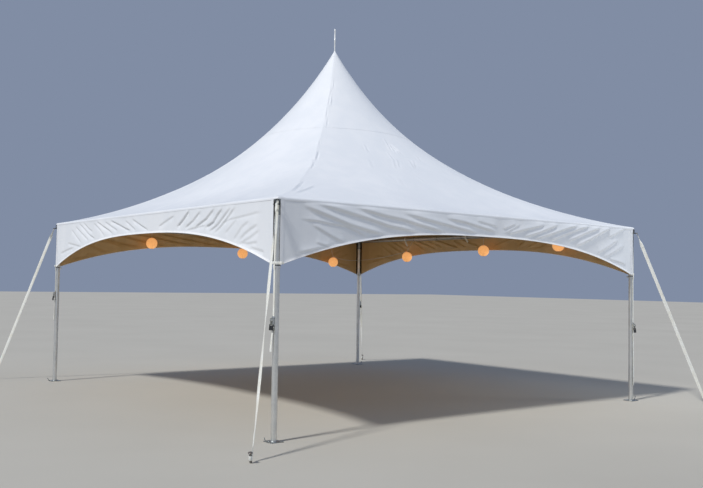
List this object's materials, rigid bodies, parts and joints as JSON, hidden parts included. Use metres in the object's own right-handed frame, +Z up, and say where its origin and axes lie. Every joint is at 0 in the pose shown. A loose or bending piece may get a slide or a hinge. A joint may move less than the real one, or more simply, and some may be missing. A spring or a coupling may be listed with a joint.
{
  "type": "marquee tent",
  "caption": "Square peaked frame tent with a white canopy, arched valances, tube legs, strap guys and orange lanterns.",
  "frame": {"origin": "on the ground under the mast, at the centre of the four legs", "axes": "+Z up, -Y towards the front side, +X towards the right side"},
  "size_m": [7.6518, 7.6518, 5.434],
  "materials": {
    "vinyl": "coated satin",
    "aluminium": "mill satin",
    "cast_fitting": "cast",
    "galvanised_steel": "galvanised",
    "webbing": "woven matt",
    "black_ratchet": "black satin",
    "orange_paper": "matt",
    "white_lead": "matt"
  },
  "bodies": {
    "root": {"front_roof_panel": "vinyl", "front_valance_left": "vinyl", "front_valance_crown": "vinyl", "front_valance_right": "vinyl", "front_eave_rail": "aluminium", "right_roof_panel": "vinyl", "right_valance": "vinyl", "right_eave_rail": "aluminium", "back_roof_panel": "vinyl", "back_valance": "vinyl", "back_eave_rail": "aluminium", "left_roof_panel": "vinyl", "left_valance_back": "vinyl", "left_valance_crown": "vinyl", "left_valance_front": "vinyl", "left_eave_rail": "aluminium", "front_left_leg": "aluminium", "front_left_base_plate": "galvanised_steel", "front_left_corner_fitting": "cast_fitting", "front_left_mast_cable": "galvanised_steel", "front_left_stake": "galvanised_steel", "front_left_guy_strap": "webbing", "front_left_leg_strap": "webbing", "front_left_ratchet": "black_ratchet", "front_right_leg": "aluminium", "front_right_base_plate": "galvanised_steel", "front_right_corner_fitting": "cast_fitting", "front_right_mast_cable": "galvanised_steel", "front_right_stake": "galvanised_steel", "front_right_guy_strap": "webbing", "front_right_leg_strap": "webbing", "front_right_ratchet": "black_ratchet", "back_left_leg": "aluminium", "back_left_base_plate": "galvanised_steel", "back_left_corner_fitting": "cast_fitting", "back_left_mast_cable": "galvanised_steel", "back_left_stake": "galvanised_steel", "back_left_guy_strap": "webbing", "back_left_leg_strap": "webbing", "back_left_ratchet": "black_ratchet", "back_right_leg": "aluminium", "back_right_base_plate": "galvanised_steel", "back_right_corner_fitting": "cast_fitting", "back_right_mast_cable": "galvanised_steel", "back_right_stake": "galvanised_steel", "back_right_guy_strap": "webbing", "back_right_leg_strap": "webbing", "back_right_ratchet": "black_ratchet", "mast_foot": "cast_fitting", "mast": "aluminium", "peak_cap": "vinyl", "finial": "aluminium", "back_lantern_1": "orange_paper", "back_lantern_2": "orange_paper", "back_lantern_3": "orange_paper", "right_lantern_1": "orange_paper", "right_lantern_2": "orange_paper", "right_lantern_3": "orange_paper", "lantern_lead": "white_lead"}
  },
  "joints": []
}
